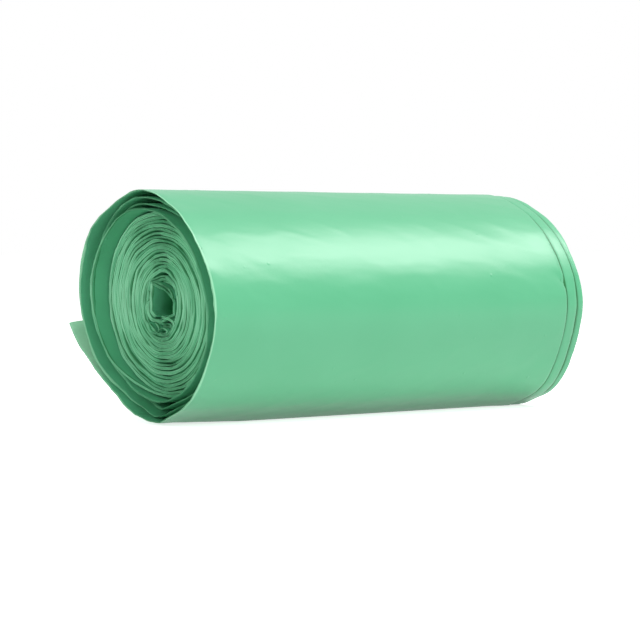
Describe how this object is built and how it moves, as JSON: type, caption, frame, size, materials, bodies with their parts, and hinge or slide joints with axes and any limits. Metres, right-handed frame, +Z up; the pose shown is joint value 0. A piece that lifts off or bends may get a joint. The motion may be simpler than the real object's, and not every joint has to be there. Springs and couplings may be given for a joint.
{
  "type": "bin bag roll",
  "caption": "Coreless roll of folded plastic film bags lying on its side, wound tight inside and loose outside, with a free tail.",
  "frame": {"origin": "middle of the small flat spot under the roll, on the surface that it lies on", "axes": "+X runs along the roll, away from the end whose outer turns stand proud; +Y points to the side where the free tail lies; +Z is up"},
  "size_m": [0.158, 0.0844, 0.0745],
  "materials": {
    "green_film": "satin polyethylene film, slightly wrinkled"
  },
  "bodies": {
    "root": {"bag_roll": "green_film"}
  },
  "joints": []
}
